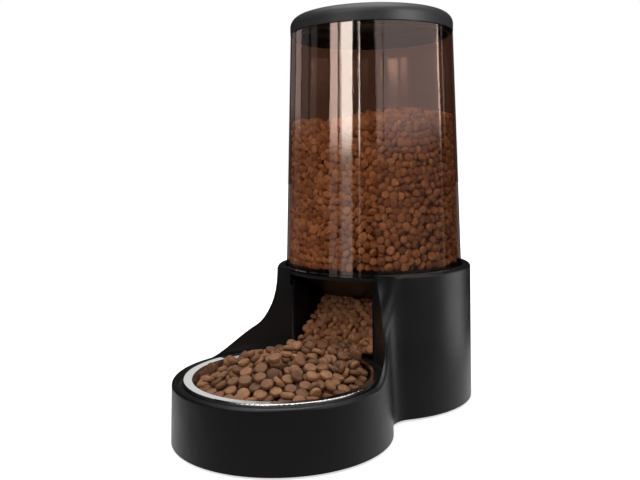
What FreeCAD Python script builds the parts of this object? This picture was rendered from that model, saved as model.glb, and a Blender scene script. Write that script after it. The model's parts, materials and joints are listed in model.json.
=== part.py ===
"""Gravity pet feeder: a two-circle base with a swept front, a smoked tank with a lid, and a steel bowl.

Millimetres. +Z is up, the bowl is towards -Y, and the origin is under the middle of the footprint,
on the floor that the rubber feet stand on. Each sub-part is one STEP file in parts/.
"""

import FreeCAD
import Part
import math
import os

V = FreeCAD.Vector
UP = V(0, 0, 1)

# Driving dimensions: footprint
AXIS_GAP = 155.0            # tank axis to bowl axis
DRUM_R_FOOT = 101.5         # rear drum, outside, at its foot
DRUM_R_RIM = 100.0          # rear drum, outside, at its rim
RING_R_FOOT = 99.2          # bowl ring, outside, at its foot
RING_R_RIM = 93.2           # the same wall carried up to the drum's rim
WAIST_R = 24.0              # blend radius between drum and ring, in plan
WALL = 3.0                  # moulded wall
FIT = 0.3                   # gap between pieces that drop into each other

LENGTH = AXIS_GAP + DRUM_R_FOOT + RING_R_FOOT
DRUM_Y = LENGTH / 2 - DRUM_R_FOOT
BOWL_Y = DRUM_Y - AXIS_GAP

# Driving dimensions: heights
FOOT_Z = 2.0                # how far the feet stand proud of the shell
RING_Z = 55.5               # top of the bowl ring
RIM_Z = 138.5               # top of the drum's rim
SWEEP_FRONT = 150.0         # where the swept edge leaves the ring, in front of the tank axis
SWEEP_BACK = 81.0           # where it stands upright, in front of the tank axis
SWEEP_PULL = 0.41           # how far it bows towards its corner: 0 is straight, 1 a parabola
WELL_R = 92.0               # round wall that the food slides into, about the bowl axis
EDGE_LOW = 3.0              # rounding of the swept edge where it leaves the ring
EDGE_HIGH = 20.0            # rounding of the swept edge where it meets the rim
EDGE_RIM = 3.0              # rounding of the rim

# Tank and lid
TANK_R_FOOT = 90.9
TANK_R_TOP = 82.0
TANK_Z = 135.0
TANK_TOP = 371.6
TANK_WALL = 2.2
SOCKET_R = 92.3
SOCKET_LEDGE_Z = 121.0
SEAL_H = 1.2
LID_R = 82.2
LID_HIGH = 17.0             # from the lid's edge to the top of its shoulder
LID_SHOULDER = 11.5         # how far the shoulder comes in
LID_DROP = 9.0              # how far the shoulder comes down
LID_CROWN = 2.0
LID_WALL = 2.6
PLUG_DEPTH = 3.6            # how far the lid's inner ring hangs into the tank

# Bowl
BOWL_R = 87.4
BOWL_HOLE_R = 81.6
BOWL_RIM_W = 7.4
BOWL_TOP = 56.2
BOWL_DEPTH = 42.0
BOWL_BASE_R = 60.0
BOWL_SHEET = 0.8
BOWL_LEDGE = 52.4

# Throat and chute
THROAT_HALF = 48.0
THROAT_FRONT = -24.0        # from the tank axis
THROAT_BACK = 30.0
THROAT_Z = 104.0
CHUTE_LIP = -62.6           # front edge of the chute floor, from the tank axis
SKIN = 2.5                  # wall of the inner mouldings
COLLAR_TOP = 140.4
COLLAR_R = 86.8
SEAT_TOP = TANK_Z - FIT

# Food
FOOD_EDGE_Z = 284.0         # fill level at the tank's wall
FOOD_PEAK_Z = 297.0
HEAP_TOP = 83.0             # top of the heap in the bowl
FOOD_GAP = 0.5


def disc(radius, low, high, y):
    """An upright cylinder from one height to another."""
    return Part.makeCylinder(radius, high - low, V(0, y, low), UP)


def tube(outer, inner, low, high, y):
    """A cylinder with a round hole through it."""
    return disc(outer, low, high, y).cut(disc(inner, low - 1, high + 1, y))


def polar(radius, degrees, y):
    """A point in plan, counted from +X about the axis at y."""
    a = math.radians(degrees)
    return radius * math.cos(a), y + radius * math.sin(a)


def revolve(points, y):
    """Turns a closed outline of (radius, height) points about the upright axis at y."""
    corners = [V(r, y, z) for r, z in points]
    face = Part.Face(Part.makePolygon(corners + corners[:1]))
    return face.revolve(V(0, y, 0), UP, 360)


def revolve_wire(edges, y):
    """Turns a closed outline of edges, drawn in the XZ plane at y, about the upright axis there."""
    return Part.Face(Part.Wire(edges)).revolve(V(0, y, 0), UP, 360)


def line(a, b):
    return Part.LineSegment(a, b).toShape()


def arc(a, middle, b):
    return Part.Arc(a, middle, b).toShape()


def outline(drum_r, ring_r, waist_r, z):
    """The plan of drum and ring joined by two hollow arcs, as one closed wire at height z."""
    to_drum = drum_r + waist_r
    to_ring = ring_r + waist_r
    back = (AXIS_GAP**2 + to_drum**2 - to_ring**2) / (2 * AXIS_GAP)
    side = math.sqrt(to_drum**2 - back**2)
    centre_y = DRUM_Y - back

    def on_drum(s):
        return V(s * side * drum_r / to_drum, DRUM_Y - back * drum_r / to_drum, z)

    def on_ring(s):
        forward = AXIS_GAP - back
        return V(s * side * ring_r / to_ring, BOWL_Y + forward * ring_r / to_ring, z)

    def waist(s):
        return V(s * (side - waist_r), centre_y, z)

    return Part.Wire([
        arc(on_drum(1), V(0, DRUM_Y + drum_r, z), on_drum(-1)),
        arc(on_drum(-1), waist(-1), on_ring(-1)),
        arc(on_ring(-1), V(0, BOWL_Y - ring_r, z), on_ring(1)),
        arc(on_ring(1), waist(1), on_drum(1)),
    ])


def drum_radius(z):
    return DRUM_R_FOOT + (DRUM_R_RIM - DRUM_R_FOOT) * (z - FOOT_Z) / (RIM_Z - FOOT_Z)


def ring_radius(z):
    return RING_R_FOOT + (RING_R_RIM - RING_R_FOOT) * (z - FOOT_Z) / (RIM_Z - FOOT_Z)


def tapered_body(inset, low, high):
    """The drafted outside of the base, moved in by inset, between two heights."""
    def ring_wire(z):
        return outline(drum_radius(z) - inset, ring_radius(z) - inset, WAIST_R + inset, z)

    return Part.makeLoft([ring_wire(low), ring_wire(high)], True, True)


def sweep_tool(inset):
    """Everything above the hollow swept front edge: one bowed curve seen from the side."""
    low = V(-200, DRUM_Y - SWEEP_FRONT, RING_Z - inset)
    corner = V(-200, DRUM_Y - SWEEP_BACK + inset, RING_Z - inset)
    high = V(-200, DRUM_Y - SWEEP_BACK + inset, RIM_Z)
    curve = Part.BezierCurve()
    curve.setPoles([low, corner, high])
    curve.setWeight(2, SWEEP_PULL)
    over = V(0, 0, 80.0)
    front = V(-200, BOWL_Y - 150.0, 0)
    edges = [
        curve.toShape(),
        line(high, high + over),
        line(high + over, front + V(0, 0, RIM_Z) + over),
        line(front + V(0, 0, RIM_Z) + over, front + V(0, 0, low.z)),
        line(front + V(0, 0, low.z), low),
    ]
    return Part.Face(Part.Wire(Part.__sortEdges__(edges))).extrude(V(400, 0, 0))


SCREW_SHANK_R = 1.5
SCREW_HOLE_R = 1.6
SCREW_HEAD_R = 3.0
BOSS_R = 5.0
COVER_T = 2.5
COVER_TOP = FOOT_Z + COVER_T


def cover_screw_places():
    """Six screws as (x, y, degrees towards the nearest wall): drum, waist and front of the ring."""
    places = [(*polar(92.5, a, DRUM_Y), a) for a in (55, 125)]
    places += [(*polar(90.0, a, BOWL_Y), a) for a in (-55, -125)]
    places += [(62.0, DRUM_Y - 80.0, 0), (-62.0, DRUM_Y - 80.0, 180)]
    return places


FOOT_R = 9.0
FOOT_RECESS = 1.0


def foot_points():
    """Six rubber feet, named for where they stand."""
    return {
        "foot_rear_left": polar(82.0, 160, DRUM_Y),
        "foot_rear_middle": polar(82.0, 90, DRUM_Y),
        "foot_rear_right": polar(82.0, 20, DRUM_Y),
        "foot_front_left": polar(79.0, -160, BOWL_Y),
        "foot_front_middle": polar(79.0, -90, BOWL_Y),
        "foot_front_right": polar(79.0, -20, BOWL_Y),
    }


SEAT_SCREW_ANGLES = (20, 70, 110, 160)
SEAT_SCREW_R = 88.4


def base_shell():
    """The black outer moulding: drum, waist and bowl ring, open underneath."""
    body = tapered_body(0, FOOT_Z, RIM_Z).cut(sweep_tool(0))
    body = round_top_edges(body)
    body = body.cut(disc(WELL_R, RING_Z - 0.01, RIM_Z + 1, BOWL_Y))
    body = body.cut(disc(SOCKET_R, SOCKET_LEDGE_Z, RIM_Z + 1, DRUM_Y))
    body = body.cut(bowl_seat())
    cavity = tapered_body(WALL, FOOT_Z - 1, RIM_Z - WALL).cut(sweep_tool(3 * WALL))
    cavity = cavity.cut(disc(WELL_R + WALL + 1, BOWL_LEDGE - WALL, RIM_Z, BOWL_Y))
    cavity = cavity.cut(disc(SOCKET_R + SKIN, SOCKET_LEDGE_Z - WALL, RIM_Z, DRUM_Y))
    body = body.cut(cavity)
    body = body.cut(disc(SOCKET_R - 7, 100, RIM_Z, DRUM_Y))
    half = THROAT_HALF + FIT
    gate = Part.makeBox(2 * half, 40, RIM_Z - RING_Z + 1, V(-half, DRUM_Y - SWEEP_BACK - 5, RING_Z))
    body = body.cut(gate)
    for x, y, outward in cover_screw_places():
        body = body.fuse(screw_boss(x, y, outward))
        body = body.cut(Part.makeCylinder(SCREW_HOLE_R, 14, V(x, y, COVER_TOP - 0.5), UP))
    for a in SEAT_SCREW_ANGLES:
        x, y = polar(SEAT_SCREW_R, a, DRUM_Y)
        body = body.cut(Part.makeCylinder(SCREW_HOLE_R + 0.1, 10, V(x, y, SOCKET_LEDGE_Z - 6), UP))
    return body.removeSplitter()


def screw_boss(x, y, outward):
    """Round boss tied to the outer wall by a rib."""
    high = 32.0
    boss = Part.makeCylinder(BOSS_R, high, V(x, y, COVER_TOP), UP)
    rib = Part.makeBox(12, 2.4, high, V(x, y - 1.2, COVER_TOP))
    rib.rotate(V(x, y, 0), UP, outward)
    return boss.fuse(rib).common(tapered_body(0.8, FOOT_Z, RING_Z - 4))


def round_top_edges(body):
    """Rounds the outer top edge, softer and softer from the ring up the swept edge to the rim."""
    def radius(z):
        return EDGE_LOW + (EDGE_HIGH - EDGE_LOW) * (z - RING_Z) / (RIM_Z - RING_Z)

    rounds = []
    for number, edge in enumerate(body.Edges, 1):
        box = edge.BoundBox
        straight_across = box.YLength < 0.01
        if straight_across or box.ZMin < RING_Z - 0.5:
            continue
        if box.ZMin > RIM_Z - 0.5:
            rounds.append((number, EDGE_RIM, EDGE_RIM))
            continue
        ends = [edge.valueAt(edge.FirstParameter).z, edge.valueAt(edge.LastParameter).z]
        if edge.Orientation == "Reversed":
            ends.reverse()
        rounds.append((number, radius(ends[0]), radius(ends[1])))
    page = FreeCAD.newDocument("base")
    plain = page.addObject("Part::Feature", "Plain")
    plain.Shape = body
    rounded = page.addObject("Part::Fillet", "Rounded")
    rounded.Base = plain
    rounded.Edges = rounds
    page.recompute()
    return rounded.Shape


def bowl_seat():
    """The stepped round recess that the bowl drops into, with its sloping shoulder."""
    recess = BOWL_R + 1.0
    return revolve([
        (0, FOOT_Z - 2), (BOWL_HOLE_R, FOOT_Z - 2), (BOWL_HOLE_R, BOWL_LEDGE), (recess, BOWL_LEDGE),
        (recess, BOWL_LEDGE + 1.0), (WELL_R, RING_Z), (WELL_R, RING_Z + 1), (0, RING_Z + 1),
    ], BOWL_Y)


def bottom_cover():
    """Flat plate that closes the underside and carries the feet."""
    inset = WALL + FIT
    cover = tapered_body(inset, FOOT_Z, COVER_TOP)
    for x, y, _ in cover_screw_places():
        sink = Part.makeCone(SCREW_HEAD_R + 0.1, SCREW_HOLE_R, 1.6, V(x, y, FOOT_Z), UP)
        cover = cover.cut(sink).cut(Part.makeCylinder(SCREW_HOLE_R, 6, V(x, y, FOOT_Z), UP))
    for x, y in foot_points().values():
        cover = cover.cut(Part.makeCylinder(FOOT_R + 0.1, FOOT_RECESS, V(x, y, FOOT_Z), UP))
    return cover


def cover_screws():
    """Countersunk self-tapping screws that hold the bottom cover."""
    screws = []
    for x, y, _ in cover_screw_places():
        head = Part.makeCone(SCREW_HEAD_R, SCREW_SHANK_R, 1.5, V(x, y, FOOT_Z), UP)
        shank = Part.makeCylinder(SCREW_SHANK_R, 12, V(x, y, FOOT_Z), UP)
        slot = Part.makeBox(3.6, 0.7, 0.7, V(x - 1.8, y - 0.35, FOOT_Z - 0.01))
        cross = Part.makeBox(0.7, 3.6, 0.7, V(x - 0.35, y - 1.8, FOOT_Z - 0.01))
        screws.append(head.fuse(shank).cut(slot).cut(cross).removeSplitter())
    return Part.makeCompound(screws)


def foot(x, y):
    """A rubber pad with a rounded lower edge, let into the cover."""
    pad = Part.makeCylinder(FOOT_R, FOOT_Z + FOOT_RECESS, V(x, y, 0), UP)
    low = [e for e in pad.Edges if e.BoundBox.ZMax < 0.1]
    return pad.makeFillet(0.8, low)


def pan_screw(x, y, top, length):
    """A pan-head screw driven upwards, its head's top face at height top."""
    head_h = 1.8
    head = Part.makeCylinder(SCREW_HEAD_R, head_h, V(x, y, top - head_h), UP)
    shank = Part.makeCylinder(SCREW_SHANK_R, length, V(x, y, top - 0.5), UP)
    return head.fuse(shank).removeSplitter()


def throat_wire(half, front, back, z):
    """Rounded rectangle of the throat, as a closed wire at height z."""
    r = 10.0
    y0 = DRUM_Y + front
    y1 = DRUM_Y + back
    k = r * (1 - math.sqrt(0.5))
    return Part.Wire([
        line(V(-half + r, y0, z), V(half - r, y0, z)),
        arc(V(half - r, y0, z), V(half - k, y0 + k, z), V(half, y0 + r, z)),
        line(V(half, y0 + r, z), V(half, y1 - r, z)),
        arc(V(half, y1 - r, z), V(half - k, y1 - k, z), V(half - r, y1, z)),
        line(V(half - r, y1, z), V(-half + r, y1, z)),
        arc(V(-half + r, y1, z), V(-half + k, y1 - k, z), V(-half, y1 - r, z)),
        line(V(-half, y1 - r, z), V(-half, y0 + r, z)),
        arc(V(-half, y0 + r, z), V(-half + k, y0 + k, z), V(-half + r, y0, z)),
    ])


def mouth_wire(radius, z):
    """A circle about the tank axis cut into eight arcs that face the throat's eight sides."""
    angles = [-110, -70, -40, 40, 70, 110, 140, 220, 250]

    def at(a):
        x, y = polar(radius, a, DRUM_Y)
        return V(x, y, z)

    return Part.Wire([arc(at(a), at((a + b) / 2), at(b)) for a, b in zip(angles, angles[1:])])


def funnel_body(skin, low, high, mouth_r):
    """Solid funnel from the round mouth down to the throat, grown by skin."""
    throat = throat_wire(THROAT_HALF + skin, THROAT_FRONT - skin, THROAT_BACK + skin, low)
    return Part.makeLoft([throat, mouth_wire(mouth_r + skin, high)], True, True)


FLANGE_W = 11.0
FLANGE_T = 2.5
CHUTE_SCREW_POINTS = [(s * 54.5, y) for s in (1, -1) for y in (-8.0, 18.0)]


def throat_flange(low, high):
    """Plate round the throat, wider at its sides for the screws."""
    half = THROAT_HALF + FLANGE_W
    plate = Part.makeBox(2 * half, THROAT_BACK - THROAT_FRONT - 6, high - low,
                         V(-half, DRUM_Y + THROAT_FRONT + 3, low))
    hole = Part.Face(throat_wire(THROAT_HALF, THROAT_FRONT, THROAT_BACK, low - 1))
    return plate.cut(hole.extrude(V(0, 0, high - low + 2)))


def hopper_seat():
    """Seat ring and funnel under the tank: collar, landing for the tank's rim, and throat."""
    collar_in = COLLAR_R - SKIN
    ring_out = SOCKET_R - FIT
    seat = tube(ring_out, collar_in, SEAT_TOP - SKIN, SEAT_TOP, DRUM_Y)
    seat = seat.fuse(tube(ring_out, ring_out - SKIN, SOCKET_LEDGE_Z, SEAT_TOP, DRUM_Y))
    seat = seat.fuse(tube(COLLAR_R, collar_in, SEAT_TOP - SKIN, COLLAR_TOP, DRUM_Y))
    open_front = Part.makeBox(104, 60, SEAT_TOP - SKIN - SOCKET_LEDGE_Z + 1,
                              V(-52, DRUM_Y - 100, SOCKET_LEDGE_Z - 1))
    seat = seat.cut(open_front)
    outside = funnel_body(SKIN, THROAT_Z, SEAT_TOP, collar_in - 0.5)
    seat = seat.fuse(outside)
    for x, y in CHUTE_SCREW_POINTS:
        seat = seat.fuse(Part.makeCylinder(3.6, 8, V(x, DRUM_Y + y, THROAT_Z), UP))
    for a in SEAT_SCREW_ANGLES:
        x, y = polar(SEAT_SCREW_R, a, DRUM_Y)
        seat = seat.fuse(Part.makeCylinder(3.5, SEAT_TOP - SOCKET_LEDGE_Z, V(x, y, SOCKET_LEDGE_Z), UP))
    seat = seat.fuse(throat_flange(THROAT_Z, THROAT_Z + FLANGE_T))
    inside = funnel_body(0, THROAT_Z - 0.5, SEAT_TOP, collar_in)
    seat = seat.cut(inside).cut(disc(collar_in, SEAT_TOP - 0.01, COLLAR_TOP + 1, DRUM_Y))
    for a in SEAT_SCREW_ANGLES:
        x, y = polar(SEAT_SCREW_R, a, DRUM_Y)
        seat = seat.cut(Part.makeCylinder(SCREW_HOLE_R, 9, V(x, y, SOCKET_LEDGE_Z - 1), UP))
    for x, y in CHUTE_SCREW_POINTS:
        seat = seat.cut(Part.makeCylinder(SCREW_HOLE_R, 6.5, V(x, DRUM_Y + y, THROAT_Z - 1), UP))
    return seat.removeSplitter()


def seat_screws():
    """Screws through the socket's ledge into the seat ring."""
    under = SOCKET_LEDGE_Z - WALL
    places = [polar(SEAT_SCREW_R, a, DRUM_Y) for a in SEAT_SCREW_ANGLES]
    return Part.makeCompound([pan_screw(x, y, under, 9.0) for x, y in places])


def chute_line(y):
    """Height of the chute floor's top face at y, counted from the tank axis."""
    lip_z = RING_Z + FLANGE_T
    back_z = THROAT_Z - FLANGE_T
    return lip_z + (back_z - lip_z) * (y - CHUTE_LIP) / (THROAT_BACK - CHUTE_LIP)


def side_profile(points, half):
    """Prism across the feeder from a closed (y, z) outline, y from the tank axis."""
    corners = [V(-half, DRUM_Y + y, z) for y, z in points]
    face = Part.Face(Part.makePolygon(corners + corners[:1]))
    return face.extrude(V(2 * half, 0, 0))


def funnel_underside(y):
    """Height just below the funnel's front slope at y, counted from the tank axis."""
    rise = (SEAT_TOP - THROAT_Z) / (COLLAR_R - SKIN + THROAT_FRONT)
    return THROAT_Z - SKIN - 1.5 + max(0.0, THROAT_FRONT - y) * rise


def chute_tray():
    """Sloping floor with side walls that leads the food from the throat to the bowl."""
    half = THROAT_HALF
    top = THROAT_Z - FLANGE_T
    floor = side_profile([
        (CHUTE_LIP, RING_Z), (CHUTE_LIP, chute_line(CHUTE_LIP)), (THROAT_BACK, top),
        (THROAT_BACK + SKIN, top), (THROAT_BACK + SKIN, top - 5),
    ], half)
    wall_front = -76.0
    lean = funnel_underside(wall_front)
    cheek = side_profile([
        (wall_front, RING_Z + 0.2), (wall_front, lean), (THROAT_FRONT - SKIN - 1.5, THROAT_Z - SKIN),
        (THROAT_FRONT, THROAT_Z - SKIN), (THROAT_BACK + SKIN, THROAT_Z - SKIN),
        (THROAT_BACK + SKIN, top - 5), (CHUTE_LIP, RING_Z + 0.2),
    ], half)
    cheeks = cheek.cut(side_profile([
        (-100, RING_Z - 30), (-100, 200), (60, 200), (60, RING_Z - 30),
    ], half - 2.0))
    tray = floor.fuse(cheeks)
    ear = FLANGE_W - FIT
    for s in (1, -1):
        x0 = half - 0.5 if s > 0 else -half + 0.5 - ear
        tray = tray.fuse(Part.makeBox(ear, 44, FLANGE_T, V(x0, DRUM_Y - 18, THROAT_Z - FLANGE_T)))
    tray = tray.cut(disc(WELL_R - 3.4, 0, 200, BOWL_Y))
    for x, y in CHUTE_SCREW_POINTS:
        tray = tray.cut(Part.makeCylinder(SCREW_HOLE_R + 0.1, 6, V(x, DRUM_Y + y, THROAT_Z - 4), UP))
    return tray.removeSplitter()


def chute_screws():
    """Screws that hold the chute tray up against the funnel's flange."""
    under = THROAT_Z - FLANGE_T
    return Part.makeCompound([pan_screw(x, DRUM_Y + y, under, 7.5) for x, y in CHUTE_SCREW_POINTS])


def bowl():
    """Spun steel bowl: flat rim with a turned-down hem, sloping side, rounded foot."""
    t = BOWL_SHEET
    y = BOWL_Y
    inner = BOWL_R - BOWL_RIM_W
    floor_z = BOWL_TOP - BOWL_DEPTH
    bend = 9.0

    def p(r, z):
        return V(r, y, z)

    k = math.sqrt(0.5)
    side_out = arc(p(BOWL_BASE_R + bend, floor_z + bend),
                   p(BOWL_BASE_R + bend * k, floor_z + bend * (1 - k)), p(BOWL_BASE_R, floor_z))
    side_in = arc(p(BOWL_BASE_R, floor_z + t),
                  p(BOWL_BASE_R + (bend - t) * k, floor_z + t + (bend - t) * (1 - k)),
                  p(BOWL_BASE_R + bend - t, floor_z + bend))
    edges = [
        line(p(0, floor_z), p(0, floor_z + t)),
        line(p(0, floor_z + t), p(BOWL_BASE_R, floor_z + t)),
        side_in,
        line(p(BOWL_BASE_R + bend - t, floor_z + bend), p(inner - 1.0, BOWL_TOP - 1.0)),
        arc(p(inner - 1.0, BOWL_TOP - 1.0), p(inner - 0.6, BOWL_TOP - 0.25), p(inner + 0.4, BOWL_TOP)),
        line(p(inner + 0.4, BOWL_TOP), p(BOWL_R - 1.0, BOWL_TOP)),
        arc(p(BOWL_R - 1.0, BOWL_TOP), p(BOWL_R - 1.0 + k, BOWL_TOP - 1.0 + k), p(BOWL_R, BOWL_TOP - 1.0)),
        line(p(BOWL_R, BOWL_TOP - 1.0), p(BOWL_R, BOWL_LEDGE + FIT)),
        line(p(BOWL_R, BOWL_LEDGE + FIT), p(BOWL_R - t, BOWL_LEDGE + FIT)),
        line(p(BOWL_R - t, BOWL_LEDGE + FIT), p(BOWL_R - t, BOWL_TOP - t)),
        line(p(BOWL_R - t, BOWL_TOP - t), p(inner + t, BOWL_TOP - t)),
        line(p(inner + t, BOWL_TOP - t), p(inner, BOWL_TOP - 2.0)),
        line(p(inner, BOWL_TOP - 2.0), p(BOWL_BASE_R + bend, floor_z + bend)),
        side_out,
        line(p(BOWL_BASE_R, floor_z), p(0, floor_z)),
    ]
    return revolve_wire(edges, y)


def tank_radius(z):
    return TANK_R_FOOT + (TANK_R_TOP - TANK_R_FOOT) * (z - TANK_Z) / (TANK_TOP - TANK_Z)


def tank():
    """Smoked clear tapered tube, open at both ends, with a bead round its foot."""
    def wall(z):
        return tank_radius(z) - TANK_WALL

    bead = 0.5
    return revolve([
        (wall(TANK_Z), TANK_Z), (TANK_R_FOOT, TANK_Z), (TANK_R_FOOT + bead, TANK_Z + 0.6),
        (TANK_R_FOOT + bead, TANK_Z + 2.2), (tank_radius(TANK_Z + 3.0), TANK_Z + 3.0),
        (TANK_R_TOP, TANK_TOP - 0.4), (TANK_R_TOP - 0.4, TANK_TOP),
        (wall(TANK_TOP) + 0.4, TANK_TOP), (wall(TANK_TOP), TANK_TOP - 0.4),
    ], DRUM_Y)


LID_Z = TANK_TOP + FIT
PLUG_R = TANK_R_TOP - TANK_WALL - 0.6


def lid_cap():
    """Domed cap: short upright side, rounded shoulder, slightly crowned top, hollow inside."""
    y = DRUM_Y
    top = LID_Z + LID_HIGH
    k = math.sqrt(0.5)

    def dome(radius, low, high):
        """A capped disc with a rounded shoulder and a slightly spherical top."""
        flat = radius - LID_SHOULDER
        shoulder_low = V(radius, y, high - LID_DROP)
        shoulder_mid = V(flat + LID_SHOULDER * k, y, high - LID_DROP * (1 - k))
        shoulder_top = V(flat, y, high)
        sphere_r = (flat**2 + LID_CROWN**2) / (2 * LID_CROWN)
        half = flat / 2
        crown_mid = V(half, y, high + LID_CROWN - sphere_r + math.sqrt(sphere_r**2 - half**2))
        crown_top = V(0, y, high + LID_CROWN)
        return revolve_wire([
            line(V(0, y, low), V(radius, y, low)),
            line(V(radius, y, low), shoulder_low),
            arc(shoulder_low, shoulder_mid, shoulder_top),
            arc(shoulder_top, crown_mid, crown_top),
            line(crown_top, V(0, y, low)),
        ], y)

    hollow_r = PLUG_R + 0.1
    hollow = dome(hollow_r, LID_Z - 1, top - LID_WALL)
    groove = tube(LID_R - 0.8, hollow_r - 1, LID_Z - 1, LID_Z + SEAL_H, y)
    return dome(LID_R, LID_Z, top).cut(hollow).cut(groove)


def lid_plug():
    """Inner ring of the lid that hangs inside the tank's mouth."""
    t = 2.2
    low = LID_Z - PLUG_DEPTH
    high = LID_Z + LID_HIGH - LID_WALL - LID_DROP - 0.2
    return revolve([
        (PLUG_R - t, low), (PLUG_R - 0.8, low), (PLUG_R - 0.2, low + 1.2),
        (PLUG_R, high), (PLUG_R - t, high),
    ], DRUM_Y)


def lid_seal():
    """Flat silicone ring that the cap presses on the tank's top edge."""
    return tube(LID_R - 1.0, PLUG_R + 0.2, LID_Z, LID_Z + SEAL_H - 0.05, DRUM_Y)


def food_in_tank():
    """Outer shape of the food in the tank, heaped a little in the middle."""
    low = COLLAR_TOP + 0.6
    gap = TANK_WALL + FOOD_GAP
    return revolve([
        (0, low), (tank_radius(low) - gap, low), (tank_radius(FOOD_EDGE_Z) - gap, FOOD_EDGE_Z),
        (55, FOOD_PEAK_Z - 4), (25, FOOD_PEAK_Z), (0, FOOD_PEAK_Z),
    ], DRUM_Y)


def food_on_chute():
    """Outer shape of the food in the funnel, through the throat and down the chute."""
    inner = COLLAR_R - SKIN - FOOD_GAP
    throat = throat_wire(THROAT_HALF - 3, THROAT_FRONT + 1, THROAT_BACK - 1, THROAT_Z)
    funnel = Part.makeLoft([throat, mouth_wire(inner, SEAT_TOP + FOOD_GAP)], True, True)
    funnel = funnel.fuse(disc(inner, SEAT_TOP + FOOD_GAP, COLLAR_TOP, DRUM_Y))
    front = -65.0
    slope = side_profile([
        (front, chute_line(front) + 2 * FOOD_GAP), (front, RING_Z + 10.5), (THROAT_FRONT - 4, 100.5),
        (THROAT_FRONT + 11, 100.5), (THROAT_FRONT + 11, THROAT_Z), (THROAT_BACK - 12, THROAT_Z),
        (THROAT_BACK - 12, chute_line(THROAT_BACK - 12) + FOOD_GAP),
        (CHUTE_LIP, chute_line(CHUTE_LIP) + FOOD_GAP),
    ], THROAT_HALF - 2.0 - FOOD_GAP)
    slope = slope.cut(disc(BOWL_R + 1.6, 0, 200, BOWL_Y))
    return funnel.fuse(slope).removeSplitter()


def food_in_bowl():
    """Outer shape of the heap of food in the bowl."""
    floor_z = BOWL_TOP - BOWL_DEPTH + BOWL_SHEET + FOOD_GAP
    inner = BOWL_R - BOWL_RIM_W - 1.0 - 3 * FOOD_GAP
    low_r = BOWL_BASE_R + 2.0
    rise = HEAP_TOP - BOWL_TOP
    return revolve([
        (0, floor_z), (low_r, floor_z), (low_r + 4.0, floor_z + 7.0), (inner - 1.0, BOWL_TOP),
        (inner * 0.8, BOWL_TOP + rise * 0.36), (inner * 0.55, BOWL_TOP + rise * 0.72),
        (inner * 0.3, BOWL_TOP + rise * 0.93), (inner * 0.12, HEAP_TOP), (0, HEAP_TOP),
    ], BOWL_Y)


def build():
    """Every sub-part by name."""
    parts = {
        "base_shell": base_shell(),
        "bottom_cover": bottom_cover(),
        "cover_screws": cover_screws(),
        "hopper_seat": hopper_seat(),
        "seat_screws": seat_screws(),
        "chute_tray": chute_tray(),
        "chute_screws": chute_screws(),
        "steel_bowl": bowl(),
        "tank": tank(),
        "lid_cap": lid_cap(),
        "lid_plug": lid_plug(),
        "lid_seal": lid_seal(),
        "food_in_tank": food_in_tank(),
        "food_on_chute": food_on_chute(),
        "food_in_bowl": food_in_bowl(),
    }
    for name, (x, y) in foot_points().items():
        parts[name] = foot(x, y)
    return parts


os.makedirs("parts", exist_ok=True)
for node, shape in build().items():
    good = shape.isValid() and len(shape.Solids) > 0
    print(f"{node:18s} valid={good} solids={len(shape.Solids)} volume={shape.Volume:.0f}")
    shape.exportStep(os.path.join("parts", node + ".step"))
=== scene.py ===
"""Gravity pet feeder: finishes, food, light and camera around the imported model."""

import json
import math

import bmesh
import bpy
import numpy as np
from bpy.props import FloatProperty, FloatVectorProperty, IntProperty, PointerProperty
from bpy.types import Operator, Panel, PropertyGroup
from mathutils import Euler, Matrix, Vector

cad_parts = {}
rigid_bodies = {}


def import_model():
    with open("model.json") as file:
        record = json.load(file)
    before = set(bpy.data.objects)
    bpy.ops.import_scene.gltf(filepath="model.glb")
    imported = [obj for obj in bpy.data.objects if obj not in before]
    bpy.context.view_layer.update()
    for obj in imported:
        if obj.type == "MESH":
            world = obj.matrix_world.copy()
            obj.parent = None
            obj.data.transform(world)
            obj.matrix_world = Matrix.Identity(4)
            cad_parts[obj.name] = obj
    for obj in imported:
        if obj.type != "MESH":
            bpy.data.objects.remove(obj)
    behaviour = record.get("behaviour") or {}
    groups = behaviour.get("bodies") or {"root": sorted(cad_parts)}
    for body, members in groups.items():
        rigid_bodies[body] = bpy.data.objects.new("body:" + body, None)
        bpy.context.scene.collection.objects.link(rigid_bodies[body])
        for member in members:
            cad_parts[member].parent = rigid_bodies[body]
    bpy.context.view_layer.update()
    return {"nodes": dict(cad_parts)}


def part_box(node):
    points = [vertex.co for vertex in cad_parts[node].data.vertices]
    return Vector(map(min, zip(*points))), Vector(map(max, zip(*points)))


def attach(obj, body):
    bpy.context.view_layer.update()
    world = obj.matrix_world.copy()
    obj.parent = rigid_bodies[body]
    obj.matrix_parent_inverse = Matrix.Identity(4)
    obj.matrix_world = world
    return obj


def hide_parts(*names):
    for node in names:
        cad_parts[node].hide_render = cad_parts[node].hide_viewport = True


bl_info = {
    "name": "Gravity pet feeder",
    "version": (1, 0, 0),
    "blender": (4, 5, 0),
    "location": "3D View > Sidebar > Feeder",
    "description": "Builds the finishes, the dry food and the studio of a gravity pet feeder",
    "category": "Object",
}

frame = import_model()
NODES = frame["nodes"]


def node_centre(name):
    low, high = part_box(name)
    return (low + high) / 2


TANK_AXIS = node_centre("tank").xy
BOWL_AXIS = node_centre("steel_bowl").xy
TANK_LOW, TANK_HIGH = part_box("tank")
TANK_FOOT_R, TANK_TOP_R = (TANK_HIGH.x - TANK_LOW.x) / 2, 0.082
TANK_TAPER = (TANK_FOOT_R - TANK_TOP_R) / (TANK_HIGH.z - TANK_LOW.z)
FOOD_LOW, FOOD_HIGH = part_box("food_in_tank")
BOWL_LOW, BOWL_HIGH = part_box("steel_bowl")
HEAP_LOW, HEAP_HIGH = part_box("food_in_bowl")
CHUTE_LOW, CHUTE_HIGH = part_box("food_on_chute")


# ---------------------------------------------------------------------------- settings


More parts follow.
